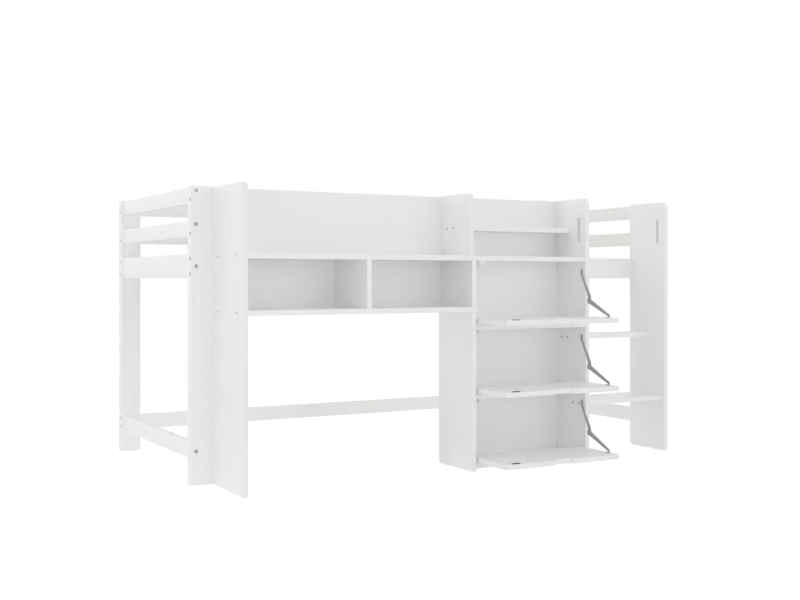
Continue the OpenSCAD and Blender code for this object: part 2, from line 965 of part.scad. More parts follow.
// Flap number i, lying open
module flap(i) {
  color(white_board)
    translate([0, 0, hinge_levels[i]])
      difference() {
        slab(flap_x0, hinge_y - flap_reach, -flap_thick / 2, flap_x1 - flap_x0,
          flap_length, flap_thick);
        finger_notch();
        bar_x(flap_x0 - eps, hinge_y, 0, hinge_pin_d + 2 * run_clear,
          hinge_pin_reach + hinge_pin_room + eps);
        bar_x(flap_x1 - hinge_pin_reach - hinge_pin_room, hinge_y, 0, hinge_pin_d + 2 * run_clear,
          hinge_pin_reach + hinge_pin_room + eps);
      }
}

module flap_1() {
  flap(0);
}

module flap_2() {
  flap(1);
}

module flap_3() {
  flap(2);
}

// Hinge pins: a collared one in the divider, a plain one in the side panel
module hinge_pins() {
  color(grey_steel)
    for (z = hinge_levels) {
      bar_x(cabinet_in - hinge_pin_reach, hinge_y, z, hinge_pin_d,
        2 * hinge_pin_reach + flap_left_gap);
      bar_x(cabinet_in, hinge_y, z, collar_d, flap_left_gap - collar_gap);
      bar_x(flap_x1 - hinge_pin_reach, hinge_y, z, hinge_pin_d,
        2 * hinge_pin_reach + flap_right_gap);
    }
}

// Lays a (Y, Z) outline in the plane at x, at flap i's hinge
module stay_plane(i, x, thick) {
  translate([x, hinge_y, hinge_levels[i]]) rotate([90, 0, 90]) linear_extrude(thick)
    children();
}

// Outline of a bent, tapered arm through stations
module tapered(stations) {
  for (i = [1 : len(stations) - 1])
    hull()
      for (s = [stations[i - 1], stations[i]]) translate(s[0]) circle(d = s[1]);
}

// Upper arm of a stay, from the side panel's pivot to the elbow
module stay_upper(i) {
  color(grey_steel) {
    stay_plane(i, upper_arm_x, arm_thick)
      difference() {
        tapered(upper_stations);
        translate(stay_p) circle(d = stay_pin_d + 2 * run_clear);
      }
    stay_plane(i, upper_arm_x + arm_thick, rivet_thick)
      translate(stay_e) circle(d = rivet_d);
  }
}

// Outline of the lower arm, round at the elbow
module lower_outline() {
  tapered([[stay_e, elbow_width], [stay_q, arm_width]]);
  translate(stay_e) circle(d = elbow_d);
}

// Lower arm of a stay: a channel, open towards the flap's middle
module stay_lower(i) {
  color(grey_steel) {
    stay_plane(i, lower_arm_x, arm_thick)
      difference() {
        lower_outline();
        translate(stay_q) circle(d = stay_pin_d + 2 * run_clear);
      }
    stay_plane(i, lower_arm_x - flange_depth, flange_depth)
      difference() {
        lower_outline();
        offset(delta = -flange_thick) lower_outline();
        translate(stay_q) circle(r = flange_end);
      }
    stay_plane(i, lower_arm_x - rivet_thick, rivet_thick)
      translate(stay_e) circle(d = rivet_d);
  }
}

module stay_upper_1() {
  stay_upper(0);
}

module stay_upper_2() {
  stay_upper(1);
}

module stay_upper_3() {
  stay_upper(2);
}

module stay_lower_1() {
  stay_lower(0);
}

module stay_lower_2() {
  stay_lower(1);
}

module stay_lower_3() {
  stay_lower(2);
}

// Mounting plate of a stay on the side panel, with its pivot pin
module stay_mounts() {
  color(grey_steel)
    for (i = [0 : 2]) {
      stay_plane(i, plate_x, plate_thick)
        tapered([[stay_p, plate_width],
          [stay_p - [0, plate_length - plate_width], plate_width]]);
      stay_plane(i, upper_arm_x, plate_x - upper_arm_x)
        translate(stay_p) circle(d = stay_pin_d);
    }
}

// Fittings on a flap: the stay's bracket with its pivot pin, and the strike plate
module flap_fittings(i) {
  inner = flap_thick / 2;
  color(grey_steel) {
    stay_plane(i, tab_x, tab_thick) {
      translate([stay_q[0] - stay_head_r, inner])
        square([2 * stay_head_r, stay_flap_rise]);
      translate(stay_q) circle(r = stay_head_r);
    }
    stay_plane(i, tab_x - foot_width + tab_thick, foot_width)
      translate([stay_q[0] - foot_length / 2, inner])
        square([foot_length, foot_thick]);
    stay_plane(i, tab_x + tab_thick, lower_arm_x + arm_thick - tab_x - tab_thick)
      translate(stay_q) circle(d = stay_pin_d);
    slab(cabinet_in + catch_start + strike_shift, hinge_y - flap_reach + strike_edge,
      hinge_levels[i] + inner, strike_length, strike_width, strike_thick);
  }
}

module flap_fittings_1() {
  flap_fittings(0);
}

module flap_fittings_2() {
  flap_fittings(1);
}

module flap_fittings_3() {
  flap_fittings(2);
}

// Magnetic catches under the shelves, just behind the closed flaps' strike plates
module magnetic_catches() {
  color(white_plastic)
    for (i = [0 : 2])
      slab(cabinet_in + catch_start, hinge_y + flap_thick / 2 + strike_thick + catch_gap,
        shelf_tops[i] + compartment - catch_height, catch_length, catch_depth,
        catch_height);
}

module frame_bolts() {
  color(nickel) {
    for (i = [0 : 3], right = [false, true]) at_right_end(right) end_rail_bolts(i);
    for (i = [0 : 3]) long_rail_bolts(i, back_rail_mid);
    for (i = [0 : 1]) long_rail_bolts(i, rail_thick / 2, false, false);
    long_rail_bolts(2, rail_thick / 2);
    guard_bolts();
  }
}

module barrel_nuts() {
  color(nickel) {
    for (i = [0 : 3], right = [false, true]) at_right_end(right) end_rail_nuts(i);
    for (i = [0 : 3]) long_rail_nuts(i, back_rail_mid);
    for (i = [0 : 1]) long_rail_nuts(i, rail_thick / 2, false, false);
    long_rail_nuts(2, rail_thick / 2);
  }
}

translate([-origin_x, -origin_y, 0]) {
  post_front_left();
  post_front_right();
  post_back_left();
  post_back_right();
  post_guard();
  left_top_guard();
  left_mid_guard();
  left_rail();
  left_stretcher();
  right_top_guard();
  right_mid_guard();
  right_rail();
  right_stretcher();
  back_top_guard();
  back_mid_guard();
  back_rail();
  back_stretcher();
  front_top_guard();
  front_mid_guard();
  front_rail();
  ledger_front();
  ledger_back();
  slats();
  bay_side_panel();
  end_panel();
  cabinet_side_panel();
  lower_divider();
  upper_divider();
  bay_top_shelf();
  bay_bottom_shelf();
  bay_partition();
  cubby_back_panel();
  upper_back_panel();
  cabinet_top();
  upper_shelf();
  cabinet_shelf_high();
  cabinet_shelf_low();
  cabinet_bottom();
  cabinet_back_panel();
  step_upper();
  step_lower();
  flap_1();
  flap_2();
  flap_3();
  stay_upper_1();
  stay_upper_2();
  stay_upper_3();
  stay_lower_1();
  stay_lower_2();
  stay_lower_3();
  flap_fittings_1();
  flap_fittings_2();
  flap_fittings_3();
  hinge_pins();
  stay_mounts();
  magnetic_catches();
  frame_bolts();
  barrel_nuts();
  panel_screws();
  base_screws();
}
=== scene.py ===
"""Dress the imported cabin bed: eased edges, paint, lacquer, pine, steel and a pale studio.

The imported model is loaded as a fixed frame. Every board, post and rail is stood for by
a merged copy with eased edges; slats, bolt heads and screw heads come from Geometry
Nodes trees; the flap stays are pressed steel arms. Lengths are in metres.
"""

from __future__ import annotations

import json
import logging
import math
from dataclasses import dataclass, field
from enum import Enum
from typing import Iterable

import bmesh
import bpy
from mathutils import Euler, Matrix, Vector

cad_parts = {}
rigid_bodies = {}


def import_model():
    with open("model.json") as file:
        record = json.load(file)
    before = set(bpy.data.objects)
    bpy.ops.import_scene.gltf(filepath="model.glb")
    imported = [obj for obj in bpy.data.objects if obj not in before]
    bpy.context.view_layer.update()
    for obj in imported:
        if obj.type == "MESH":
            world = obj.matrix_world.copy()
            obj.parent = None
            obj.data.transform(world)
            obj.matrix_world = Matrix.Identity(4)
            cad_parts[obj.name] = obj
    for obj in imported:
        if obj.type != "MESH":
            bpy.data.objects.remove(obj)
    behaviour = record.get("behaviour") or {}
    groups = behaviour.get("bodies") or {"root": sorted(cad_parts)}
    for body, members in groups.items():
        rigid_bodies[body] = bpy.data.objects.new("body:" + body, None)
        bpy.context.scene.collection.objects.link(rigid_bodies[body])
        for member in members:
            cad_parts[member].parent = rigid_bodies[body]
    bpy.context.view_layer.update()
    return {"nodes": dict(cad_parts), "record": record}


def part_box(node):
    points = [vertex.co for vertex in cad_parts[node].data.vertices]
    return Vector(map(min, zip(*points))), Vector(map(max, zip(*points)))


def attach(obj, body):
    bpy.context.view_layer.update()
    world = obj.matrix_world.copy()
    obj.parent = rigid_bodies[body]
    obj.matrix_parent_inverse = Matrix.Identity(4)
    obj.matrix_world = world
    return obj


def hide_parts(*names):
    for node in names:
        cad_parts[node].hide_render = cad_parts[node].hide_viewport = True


Node = bpy.types.Node
Socket = bpy.types.NodeSocket
Tree = bpy.types.NodeTree
Material = bpy.types.Material
Mesh = bpy.types.Mesh
Thing = bpy.types.Object
Triple = tuple[float, float, float]

LOG = logging.getLogger("cabin_bed")
MM = 0.001
# Points nearer to each other than this are one.
MERGE_NEAR = 1e-6
# Faces that turn less than the first are one, and edges that turn more than the second
# are eased.
ONE_FACE = math.radians(0.3)
EASE_FROM = math.radians(40.0)
# Edges that turn more than these show sharp, on eased pieces and on fastener heads.
SHARP_EASED = math.radians(31.0)
SHARP_HEAD = math.radians(30.0)


class Slot(Enum):
    """The record's material slots."""

    PAINTED_PINE = "painted_pine"
    BOARD = "lacquered_board"
    BARE_PINE = "bare_pine"
    DARK_STEEL = "dark_steel"
    PLATED_STEEL = "plated_steel"
    WHITE_PLASTIC = "white_plastic"


class Grain(Enum):
    """The direction that timber grain runs in, as the turn that lays it along X."""

    ALONG_X = (0.0, 0.0, 0.0)
    ALONG_Y = (0.0, 0.0, math.radians(90.0))
    ALONG_Z = (0.0, math.radians(90.0), 0.0)


class Facing(Enum):
    """The way a fastener's head faces, as the turn from +Z."""

    FRONT = (math.radians(90.0), 0.0, 0.0)
    BACK = (math.radians(-90.0), 0.0, 0.0)
    LEFT = (0.0, math.radians(-90.0), 0.0)
    RIGHT = (0.0, math.radians(90.0), 0.0)
    UP = (0.0, 0.0, 0.0)

    def outward(self) -> Vector:
        """Return the direction that the head faces."""
        return Euler(self.value).to_matrix() @ Vector((0.0, 0.0, 1.0))


# --------------------------------------------------------------------------- nodes


class NodeMaker:
    """Adds nodes to a tree and feeds them."""

    tree: Tree

    def feed(self, node: Node, inputs: dict) -> Node:
        """Set a node's inputs.

        Args:
            node: the node.
            inputs: values or sockets, by input name or index.

        Returns:
            The same node.
        """
        for name, value in inputs.items():
            if isinstance(value, Socket):
                self.tree.links.new(value, node.inputs[name])
            else:
                node.inputs[name].default_value = value
        return node

    def add(self, kind: str, inputs: dict | None = None, **settings: object) -> Node:
        """Add a node with its properties and inputs.

        Args:
            kind: the node's type name.
            inputs: values or sockets, by input name or index.
            settings: properties of the node.

        Returns:
            The new node.
        """
        node = self.tree.nodes.new(kind)
        for name, value in settings.items():
            setattr(node, name, value)
        return self.feed(node, inputs or {})

    def math(self, operation: str, a: object, b: object) -> Socket:
        """Add a Math node on two numbers or sockets and return its result."""
        return self.add("ShaderNodeMath", {0: a, 1: b}, operation=operation).outputs[0]


@dataclass
class ShaderTree(NodeMaker):
    """A helper around a shader node tree."""

    tree: Tree

    def noise(self, vector: Socket, scale: object, detail: float = 2.0) -> Socket:
        """Add a Noise Texture read at a vector and return its value."""
        inputs = {"Vector": vector, "Scale": scale, "Detail": detail}
        return self.add("ShaderNodeTexNoise", inputs).outputs["Fac"]

    def stretch(
        self, vector: Socket, scale: Triple, turn: Triple = (0.0, 0.0, 0.0)
    ) -> Socket:
        """Turn a vector, then scale it.

        Args:
            vector: the vector to change.
            scale: factors along X, Y and Z, after the turn.
            turn: Euler angles in radians.

        Returns:
            The changed vector's socket.
        """
        for change in ({"Rotation": turn}, {"Scale": scale}):
            inputs = {"Vector": vector, **change}
            vector = self.add("ShaderNodeMapping", inputs, vector_type="POINT").outputs[0]
        return vector

    def remap(
        self, value: Socket, low: float, high: float, to_low: float, to_high: float
    ) -> Socket:
        """Map a value from one range to another, clamped.

        Args:
            value: the value's socket.
            low: the lowest value in.
            high: the highest value in.
            to_low: what the lowest becomes.
            to_high: what the highest becomes.

        Returns:
            The mapped value's socket.
        """
        inputs = {"Value": value, "From Min": low, "From Max": high}
        inputs |= {"To Min": to_low, "To Max": to_high}
        return self.add("ShaderNodeMapRange", inputs).outputs["Result"]

    def blend(self, factor: Socket, first: object, second: object) -> Socket:
        """Mix two colours.

        Args:
            factor: how much of the second shows.
            first: a colour or a colour socket.
            second: a colour or a colour socket.

        Returns:
            The mixed colour's socket.
        """
        node = self.add("ShaderNodeMix", {"Factor": factor}, data_type="RGBA")
        for name, value in (("A", first), ("B", second)):
            target = next(s for s in node.inputs if s.name == name and s.type == "RGBA")
            if isinstance(value, Socket):
                self.tree.links.new(value, target)
            else:
                target.default_value = (*value, 1.0)
        return next(s for s in node.outputs if s.type == "RGBA")

    def group(self, tree: Tree, **values: object) -> Node:
        """Place a node group.

        Args:
            tree: the group.
            values: input values or sockets, with underscores for spaces.

        Returns:
            The group node.
        """
        inputs = {name.replace("_", " "): value for name, value in values.items()}
        return self.add("ShaderNodeGroup", inputs, node_tree=tree)


class SurfaceGroups:
    """Shader node groups that more than one finish uses, each built once."""

    def __init__(self) -> None:
        """Build the groups."""
        self.film = self._film()
        self.grain = self._grain()
        self.handling = self._handling()

    @staticmethod
    def _start(
        name: str, inputs: Iterable[str], outputs: Iterable[str]
    ) -> tuple[ShaderTree, Node, Node]:
        """Make an empty group that reads a vector.

        Args:
            name: the group's name.
            inputs: the names of the numbers that it takes beside the vector.
            outputs: the names of the numbers that it gives.

        Returns:
            The tree's helper, its input node and its output node.
        """
        tree = bpy.data.node_groups.new(name, "ShaderNodeTree")
        new = tree.interface.new_socket
        new("Vector", in_out="INPUT", socket_type="NodeSocketVector")
        for way, labels in (("INPUT", inputs), ("OUTPUT", outputs)):
            for label in labels:
                new(label, in_out=way, socket_type="NodeSocketFloat")
        make = ShaderTree(tree)
        return make, make.add("NodeGroupInput"), make.add("NodeGroupOutput")

    def _film(self) -> Tree:
        """Build the sprayed film, a fine orange peel and its uneven gloss, as a group."""
        make, given, out = self._start(
            "sprayed_film", ("Fineness", "Unevenness"), ("Height", "Gloss shift")
        )
        place = given.outputs["Vector"]
        broad = make.math("SUBTRACT", make.noise(place, 7.0, 3.0), 0.5)
        shift = make.math("MULTIPLY", broad, given.outputs["Unevenness"])
        peel = make.noise(place, given.outputs["Fineness"])
        make.feed(out, {"Height": peel, "Gloss shift": shift})
        return make.tree

    def _grain(self) -> Tree:
        """Build straight timber grain that runs along X of its vector, as a group."""
        make, given, out = self._start(
            "timber_grain", ("Knot share",), ("Rings", "Fibres", "Knots")
        )
        vector = given.outputs["Vector"]
        drift = make.noise(make.stretch(vector, (1.4, 9.0, 9.0)), 1.0)
        spread = make.add("ShaderNodeCombineXYZ", {"Y": drift, "Z": drift}).outputs[0]
        bent = make.add(
            "ShaderNodeVectorMath",
            {0: spread, 1: (0.0, 0.05, 0.05), 2: vector},
            operation="MULTIPLY_ADD",
        ).outputs[0]
        rings = make.add(
            "ShaderNodeTexWave",
            {
                "Vector": make.stretch(bent, (0.12, 1.0, 1.0)),
                "Scale": 16.0,
                "Distortion": 2.5,
                "Detail": 2.0,
            },
            wave_type="RINGS",
            rings_direction="X",
        )
        fibres = make.noise(make.stretch(vector, (9.0, 420.0, 420.0)), 1.0, 3.0)
        cells = make.add(
            "ShaderNodeTexVoronoi",
            {"Vector": make.stretch(bent, (2.4, 9.0, 9.0)), "Scale": 1.0},
            feature="F1",
        )
        knots = make.remap(cells.outputs["Distance"], 0.03, 0.11, 1.0, 0.0)
        knots = make.math("MULTIPLY", knots, given.outputs["Knot share"])
        make.feed(out, {"Rings": rings.outputs["Fac"], "Fibres": fibres, "Knots": knots})
        return make.tree

    def _handling(self) -> Tree:
        """Build a random soft cloud mask, and a mottled mask of painted shade on the eased
        edges, as a group.
        """
        make, given, out = self._start("handling", ("Edge",), ("Cloud", "Rub"))
        place = given.outputs["Vector"]
        cloud = make.remap(make.noise(place, 3.1, 4.0), 0.35, 0.7, 0.0, 1.0)
        fine = make.remap(make.noise(place, 55.0, 3.0), 0.4, 0.65, 0.2, 1.0)
        # Painted shade: the eased edges get a mottled darker tone.
        edge_shade = make.math("MULTIPLY", fine, given.outputs["Edge"])
        make.feed(out, {"Cloud": cloud, "Rub": edge_shade})
        return make.tree


# ------------------------------------------------------------------------ finishes


@dataclass(frozen=True)
class Finish:
    """A finish: its colour, its gloss and how deep and fine its texture is."""

    name: str
    slot: Slot
    colour: Triple
    shade: Triple
    roughness: float
    bump: float
    metallic: float = 0.0
    specular: float = 0.5
    fineness: float = 0.0
    unevenness: float = 0.0
    knot_share: float = 0.0

    def build(self, groups: SurfaceGroups, grain: Grain | None = None) -> Material:
        """Build the material, on the piece's own coordinates in metres.

        Args:
            groups: the shared node groups.
            grain: the direction of the grain, for timber.

        Returns:
            The material.
        """
        suffix = "_" + grain.name.lower() if grain else ""
        material = bpy.data.materials.new(self.name + suffix)
        material.use_nodes = True
        material.diffuse_color = (*self.colour, 1.0)
        material.node_tree.nodes.clear()
        make = ShaderTree(material.node_tree)
        shader = make.add(
            "ShaderNodeBsdfPrincipled",
            {
                "Base Color": (*self.colour, 1.0),
                "Roughness": self.roughness,
                "Metallic": self.metallic,
                "Specular IOR Level": self.specular,
            },
        )
        make.add("ShaderNodeOutputMaterial", {"Surface": shader.outputs[0]})
        read = self._read(make, groups, grain)
        tone, height = self.texture(make, read)
        bump = make.add(
            "ShaderNodeBump", {"Strength": 1.0, "Distance": self.bump, "Height": height}
        )
        gloss = self.gloss(make, read)
        make.feed(shader, {"Base Color": tone, "Roughness": gloss, "Normal": bump.outputs[0]})
        return material

    def _read(
        self, make: ShaderTree, groups: SurfaceGroups, grain: Grain | None
    ) -> dict[str, Socket]:
        """Place the groups that the finish reads.

        Args:
            make: the material's tree.
            groups: the shared node groups.
            grain: the direction of the grain, for timber.

        Returns:
            The groups' outputs by name, with the piece's coordinates as "Place".
        """
        place = make.add("ShaderNodeTexCoord").outputs["Object"]
        # The eased faces, where painted shade goes on the edges.
        edge = make.add("ShaderNodeAttribute", attribute_name="eased").outputs["Fac"]
        nodes = [make.group(groups.handling, Vector=place, Edge=edge)]
        if self.fineness:
            sizes = {"Fineness": self.fineness, "Unevenness": self.unevenness}
            nodes.append(make.group(groups.film, Vector=place, **sizes))
        if grain:
            laid = make.stretch(place, (1.0, 1.0, 1.0), grain.value)
            nodes.append(make.group(groups.grain, Vector=laid, Knot_share=self.knot_share))
        return {"Place": place} | {s.name: s for node in nodes for s in node.outputs}

    def gloss(self, make: ShaderTree, read: dict[str, Socket]) -> Socket:
        """Return the roughness: the finish's own, a little uneven."""
        return make.math("ADD", read["Gloss shift"], self.roughness)

    def texture(self, make: ShaderTree, read: dict[str, Socket]) -> tuple[Socket, Socket]:
        """Return the colour and the height, 0 to 1."""
        raise NotImplementedError


@dataclass(frozen=True)
class Lacquer(Finish):
    """Sprayed white lacquer on fibreboard, smooth with a fine orange peel."""

    fineness: float = 520.0
    unevenness: float = 0.06
    cloud_share: float = 0.35
    # How strongly painted shade darkens the eased edges.
    rub_share: float = 0.5

    def texture(self, make: ShaderTree, read: dict[str, Socket]) -> tuple[Socket, Socket]:
        """Return the colour, a little greyer in clouds and with painted shade on the eased
        edges, and the height.
        """
        faint = make.math("MULTIPLY", read["Cloud"], self.cloud_share)
        edge_shade = make.math("MULTIPLY", read["Rub"], self.rub_share)
        tone = make.blend(faint, self.colour, self.shade)
        return make.blend(edge_shade, tone, self.shade), read["Height"]


@dataclass(frozen=True)
class Paint(Finish):
    """White paint on pine: the grain still shows a little through the film."""

    fineness: float = 300.0
    unevenness: float = 0.1
    knot_share: float = 0.25
    ring_share: float = 0.18
    # The edge share paints shade on the eased edges; the cloud share is random tone.
    veil_shares: tuple[tuple[str, float], ...] = (("Cloud", 0.2), ("Rub", 0.4))
    height_shares: tuple[tuple[str, float], ...] = (("Fibres", 1.4), ("Rings", 0.8))

    def texture(self, make: ShaderTree, read: dict[str, Socket]) -> tuple[Socket, Socket]:
        """Return the colour, with the wood faintly in it and painted shade on the eased edges,
        and the height.
        """
        veil = make.math("MULTIPLY", read["Rings"], self.ring_share)
        for name, share in self.veil_shares:
            veil = make.math("ADD", veil, make.math("MULTIPLY", read[name], share))
        veil = make.math("ADD", veil, read["Knots"])
        height = read["Height"]
        for name, share in self.height_shares:
            height = make.math("ADD", height, make.math("MULTIPLY", read[name], share))
        return make.blend(veil, self.colour, self.shade), height


@dataclass(frozen=True)
class BarePine(Finish):
    """Planed pine without paint, with rings, fibres and small knots."""

    knot_share: float = 1.0
    knot_tint: Triple = (0.45, 0.33, 0.25)
    ring_share: float = 0.75
    pale_share: float = 0.25
    gloss_spread: float = 0.06

    def texture(self, make: ShaderTree, read: dict[str, Socket]) -> tuple[Socket, Socket]:
        """Return the colour of rings, knots and paler clouds, and the height."""
        rings = make.math("MULTIPLY", read["Rings"], self.ring_share)
        knot = tuple(part * tint for part, tint in zip(self.shade, self.knot_tint))
        base = make.blend(rings, self.colour, self.shade)
        base = make.blend(read["Knots"], base, knot)
        pale = make.math("MULTIPLY", read["Cloud"], self.pale_share)
        height = make.math("ADD", read["Fibres"], read["Rings"])
        return make.blend(pale, base, self.colour), height

    def gloss(self, make: ShaderTree, read: dict[str, Socket]) -> Socket:
        """Return the roughness, a little lower between the fibres."""
        lowest = self.roughness - self.gloss_spread
        return make.remap(read["Fibres"], 0.3, 0.7, lowest, self.roughness)


@dataclass(frozen=True)
class Steel(Finish):
    """Rolled or plated steel: fine drawn lines and a dull bloom."""

    fineness: float = 900.0
    unevenness: float = 0.2
    line_scale: Triple = (200.0, 900.0, 900.0)
    line_share: float = 0.5
    bloom_share: float = 0.4

    def texture(self, make: ShaderTree, read: dict[str, Socket]) -> tuple[Socket, Socket]:
        """Return the colour, darker along the lines and in clouds, and the lines' height."""
        lines = make.noise(make.stretch(read["Place"], self.line_scale), 1.0)
        bloom = make.math("MULTIPLY", read["Cloud"], self.bloom_share)
        drawn = make.remap(lines, 0.3, 0.7, 0.0, self.line_share)
        tone = make.math("ADD", drawn, bloom)
        return make.blend(tone, self.colour, self.shade), lines


@dataclass(frozen=True)
class MouldedPlastic(Finish):
    """Moulded plastic with a fine spark-eroded texture."""

    fineness: float = 1600.0
    unevenness: float = 0.08
    cloud_share: float = 0.5

    def texture(self, make: ShaderTree, read: dict[str, Socket]) -> tuple[Socket, Socket]:
        """Return the colour, a little darker in clouds, and the height."""
        faint = make.math("MULTIPLY", read["Cloud"], self.cloud_share)
        return make.blend(faint, self.colour, self.shade), read["Height"]


@dataclass
class Finishes:
    """Every finish of the bed, each built once."""

    groups: SurfaceGroups = field(default_factory=SurfaceGroups)
    usual: tuple[Finish, ...] = (
        Lacquer(
            "white_lacquer", Slot.BOARD, (0.93, 0.93, 0.93), (0.915, 0.915, 0.917), 0.42, 0.00003
        ),
        Paint(
            "white_paint", Slot.PAINTED_PINE, (0.945, 0.945, 0.944), (0.93, 0.929, 0.925),
            0.46, 0.00004,
        ),
        BarePine("bare_pine", Slot.BARE_PINE, (0.85, 0.8, 0.72), (0.77, 0.7, 0.6), 0.6, 0.00012),
        Steel(
            "stay_steel", Slot.DARK_STEEL, (0.47, 0.47, 0.475), (0.38, 0.38, 0.385),
            0.45, 0.00004, 0.3,
        ),
        Steel(
            "plated_steel", Slot.PLATED_STEEL, (0.42, 0.42, 0.42), (0.3, 0.3, 0.3),
            0.38, 0.00002, 0.9,
        ),
        MouldedPlastic(
            "catch_plastic", Slot.WHITE_PLASTIC, (0.88, 0.88, 0.87), (0.83, 0.83, 0.82),
            0.5, 0.00002,
        ),
    )
    # Painted shade: a darker grey lacquer for the walls of the hand slots, standing in for the
    # shade inside them.
    slot_shade: Finish = Lacquer(
        "slot_shade_lacquer", Slot.BOARD, (0.76, 0.76, 0.758), (0.72, 0.72, 0.718), 0.55, 0.00003
    )
    blackened: Finish = Steel(
        "blackened_steel", Slot.DARK_STEEL, (0.02, 0.02, 0.02), (0.01, 0.01, 0.01),
        0.8, 0.00003, specular=0.15,
    )
    built: dict[tuple, Material] = field(default_factory=dict)

    def material(self, finish: Finish, grain: Grain | None = None) -> Material:
        """Return a finish's material, built on first use.

        Args:
            finish: the finish.
            grain: the direction of the grain, for timber.

        Returns:
            The material.
        """
        key = (finish.name, grain)
        if key not in self.built:
            self.built[key] = finish.build(self.groups, grain)
        return self.built[key]

    def get(self, slot: Slot, grain: Grain | None = None) -> Material:
        """Return the usual material of a slot, for timber in one grain direction."""
        return self.material(next(f for f in self.usual if f.slot is slot), grain)


# --------------------------------------------------------------------- mesh making


CAD_NODES: dict[str, str] = {}
BODY_OF: dict[str, str] = {}


def link(obj: Thing) -> Thing:
    """Link an object to the scene and return it."""
    bpy.context.scene.collection.objects.link(obj)
    return obj


def bake(piece: Thing) -> Mesh:
    """Give a piece the mesh that its modifiers make, under its own name, and return it."""
    bpy.context.view_layer.update()
    graph = bpy.context.evaluated_depsgraph_get()
    mesh = bpy.data.meshes.new_from_object(piece.evaluated_get(graph), depsgraph=graph)
    piece.modifiers.clear()
    piece.data = mesh
    mesh.name = piece.name
    return mesh


def merged(node: str) -> bmesh.types.BMesh:
    """Return a CAD node's mesh as a new BMesh with its shared points merged."""
    shape = bmesh.new()
    shape.from_mesh(bpy.data.objects[CAD_NODES[node]].data)
    bmesh.ops.remove_doubles(shape, verts=shape.verts, dist=MERGE_NEAR)
    return shape


def stand_for(piece: Thing, node: str, slot: Slot) -> None:
    """Let a piece stand for a CAD node: hide the node and let the piece ride on its body.

    Args:
        piece: the new piece.
        node: the CAD node's name.
        slot: the piece's material slot; not used.
    """
    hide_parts(node)
    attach(piece, BODY_OF[node])


@dataclass
class EasedCopy:
    """A merged copy of a CAD node with eased edges, which stands for the node."""

    node: str
    slot: Slot
    grain: Grain | None = None
    ease: float = 1.2 * MM
    segments: int = 3
    flat: float = 0.9999

    def build(self, finishes: Finishes) -> Thing:
        """Build the copy, dress it and let it ride on the node's body.

        Args:
            finishes: the bed's finishes.

        Returns:
            The new piece.
        """
        mesh = bpy.data.meshes.new(self.node + "_eased")
        shape = merged(self.node)
        bmesh.ops.dissolve_limit(
            shape, angle_limit=ONE_FACE, verts=shape.verts, edges=shape.edges
        )
        bmesh.ops.recalc_face_normals(shape, faces=shape.faces)
        shape.to_mesh(mesh)
        shape.free()
        piece = link(bpy.data.objects.new(self.node + "_eased", mesh))
        bevel = piece.modifiers.new("ease", "BEVEL")
        bevel.width = self.ease
        bevel.segments = self.segments
        bevel.limit_method = "ANGLE"
        bevel.angle_limit = EASE_FROM
        bevel.use_clamp_overlap = True
        result = bake(piece)
        self._mark_edges(result)
        result.materials.clear()
        result.materials.append(finishes.get(self.slot, self.grain))
        stand_for(piece, self.node, self.slot)
        return piece

    def _mark_edges(self, mesh: Mesh) -> None:
        """Shade the easing smooth and write it to the attribute "eased".

        Args:
            mesh: the piece's mesh.
        """
        # This mark tells the finishes where to paint shade on the eased edges.
        marks = mesh.attributes.new("eased", "FLOAT", "FACE")
        for face in mesh.polygons:
            straightness = max(abs(c) for c in face.normal)
            marks.data[face.index].value = float(straightness < self.flat)
            face.use_smooth = True
        mesh.set_sharp_from_angle(angle=SHARP_EASED)


def ease_many(nodes: Iterable[str], slot: Slot, finishes: Finishes, **sizes: object) -> None:
    """Stand eased copies for several nodes.

    Args:
        nodes: the CAD nodes.
        slot: their material slot.
        finishes: the bed's finishes.
        sizes: what differs from EasedCopy's defaults.
    """
    for node in nodes:
        EasedCopy(node, slot, **sizes).build(finishes)
        LOG.info("eased %s", node)


# ------------------------------------------------------------------ geometry nodes


@dataclass
class GeometryTree(NodeMaker):
    """A Geometry Nodes tree built by name, with its own inputs."""

    name: str
    tree: Tree = field(init=False)
    given: Node = field(init=False)
    ids: dict[str, str] = field(default_factory=dict)

    def __post_init__(self) -> None:
        """Make the empty tree with its geometry sockets."""
        self.tree = bpy.data.node_groups.new(self.name, "GeometryNodeTree")
        for way in ("INPUT", "OUTPUT"):
            self.tree.interface.new_socket(
                "Geometry", in_out=way, socket_type="NodeSocketGeometry"
            )
        self.given = self.add("NodeGroupInput")

    def takes(self, kind: str, *labels: str) -> None:
        """Add inputs of one socket type, which every run sets.

        Args:
            kind: the socket type.
            labels: the inputs' names.
        """
        for label in labels:
            socket = self.tree.interface.new_socket(label, in_out="INPUT", socket_type=kind)
            self.ids[label] = socket.identifier

    def take(self, label: str) -> Socket:
        """Return the socket of a named input."""
        return self.given.outputs[label]

    def vector(self, x: object, y: object, z: object) -> Socket:
        """Combine three numbers or sockets into a vector."""
        return self.add("ShaderNodeCombineXYZ", {0: x, 1: y, 2: z}).outputs[0]

    def finish(self, geometry: Socket) -> None:
        """End the tree in Realize Instances and Set Material."""
        real = self.add("GeometryNodeRealizeInstances", {0: geometry}).outputs[0]
        inputs = {"Geometry": real, "Material": self.take("Material")}
        painted = self.add("GeometryNodeSetMaterial", inputs)
        self.add("NodeGroupOutput", {0: painted.outputs[0]})

    def run(self, name: str, base: Mesh, values: dict[str, object]) -> Thing:
        """Run the tree on a mesh and keep the result as a plain mesh.

        Args:
            name: the new piece's name.
            base: the mesh that the tree starts from.
            values: input values by name.

        Returns:
            The new piece.
        """
        piece = link(bpy.data.objects.new(name, base))
        modifier = piece.modifiers.new(self.name, "NODES")
        modifier.node_group = self.tree
        for label, value in values.items():
            modifier[self.ids[label]] = value
        bake(piece)
        return piece


